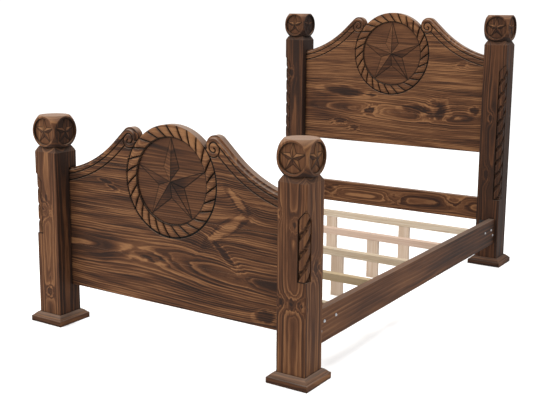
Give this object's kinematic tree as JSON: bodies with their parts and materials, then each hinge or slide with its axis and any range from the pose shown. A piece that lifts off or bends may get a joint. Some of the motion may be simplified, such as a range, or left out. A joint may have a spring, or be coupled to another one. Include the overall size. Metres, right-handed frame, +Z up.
{
  "type": "bed frame",
  "caption": "Rustic stained pine bed with square posts, star caps, carved corner ropes and scrolled boards with rope-and-star medallions, side rails and pine slats on legs",
  "frame": {"origin": "on the floor in the middle of the bed, halfway between the left and right posts and between the foot and head posts", "axes": "+X across the bed to its right when it is seen from the foot, +Y from foot to head, +Z up"},
  "size_m": [1.6, 2.474, 1.527],
  "materials": {
    "post_pine": "stained",
    "cap_pine": "stained",
    "trim_pine": "stained",
    "board_pine": "stained",
    "rail_pine": "stained",
    "raw_pine": "bare",
    "bracket_steel": "satin",
    "zinc_steel": "zinc plated"
  },
  "bodies": {
    "root": {"bracket_lag_screws": "zinc_steel", "cap_dowels": "raw_pine", "foot_cap_left": "cap_pine", "foot_cap_right": "cap_pine", "foot_plinth_left_foot_strip": "trim_pine", "foot_plinth_left_head_strip": "trim_pine", "foot_plinth_left_left_strip": "trim_pine", "foot_plinth_left_right_strip": "trim_pine", "foot_plinth_right_foot_strip": "trim_pine", "foot_plinth_right_head_strip": "trim_pine", "foot_plinth_right_left_strip": "trim_pine", "foot_plinth_right_right_strip": "trim_pine", "foot_post_left": "post_pine", "foot_post_right": "post_pine", "footboard_plank_1": "board_pine", "footboard_plank_2": "board_pine", "footboard_plank_3": "board_pine", "footboard_plank_4": "board_pine", "head_cap_left": "cap_pine", "head_cap_right": "cap_pine", "head_plinth_left_foot_strip": "trim_pine", "head_plinth_left_head_strip": "trim_pine", "head_plinth_left_left_strip": "trim_pine", "head_plinth_left_right_strip": "trim_pine", "head_plinth_right_foot_strip": "trim_pine", "head_plinth_right_head_strip": "trim_pine", "head_plinth_right_left_strip": "trim_pine", "head_plinth_right_right_strip": "trim_pine", "head_post_left": "post_pine", "head_post_right": "post_pine", "headboard_plank_1": "board_pine", "headboard_plank_2": "board_pine", "headboard_plank_3": "board_pine", "headboard_plank_4": "board_pine", "lower_head_rail": "board_pine", "rail_bolts": "zinc_steel", "rail_bracket_foot_left": "bracket_steel", "rail_bracket_foot_right": "bracket_steel", "rail_bracket_head_left": "bracket_steel", "rail_bracket_head_right": "bracket_steel", "side_rail_left": "rail_pine", "side_rail_right": "rail_pine", "slat_1": "raw_pine", "slat_2": "raw_pine", "slat_3": "raw_pine", "slat_4": "raw_pine", "slat_5": "raw_pine", "slat_ledger_left": "raw_pine", "slat_ledger_right": "raw_pine", "slat_leg_2_left": "raw_pine", "slat_leg_2_right": "raw_pine", "slat_leg_3_left": "raw_pine", "slat_leg_3_right": "raw_pine", "slat_leg_4_left": "raw_pine", "slat_leg_4_right": "raw_pine", "slat_leg_5_left": "raw_pine", "slat_leg_5_right": "raw_pine", "wood_screws": "zinc_steel"}
  },
  "joints": []
}
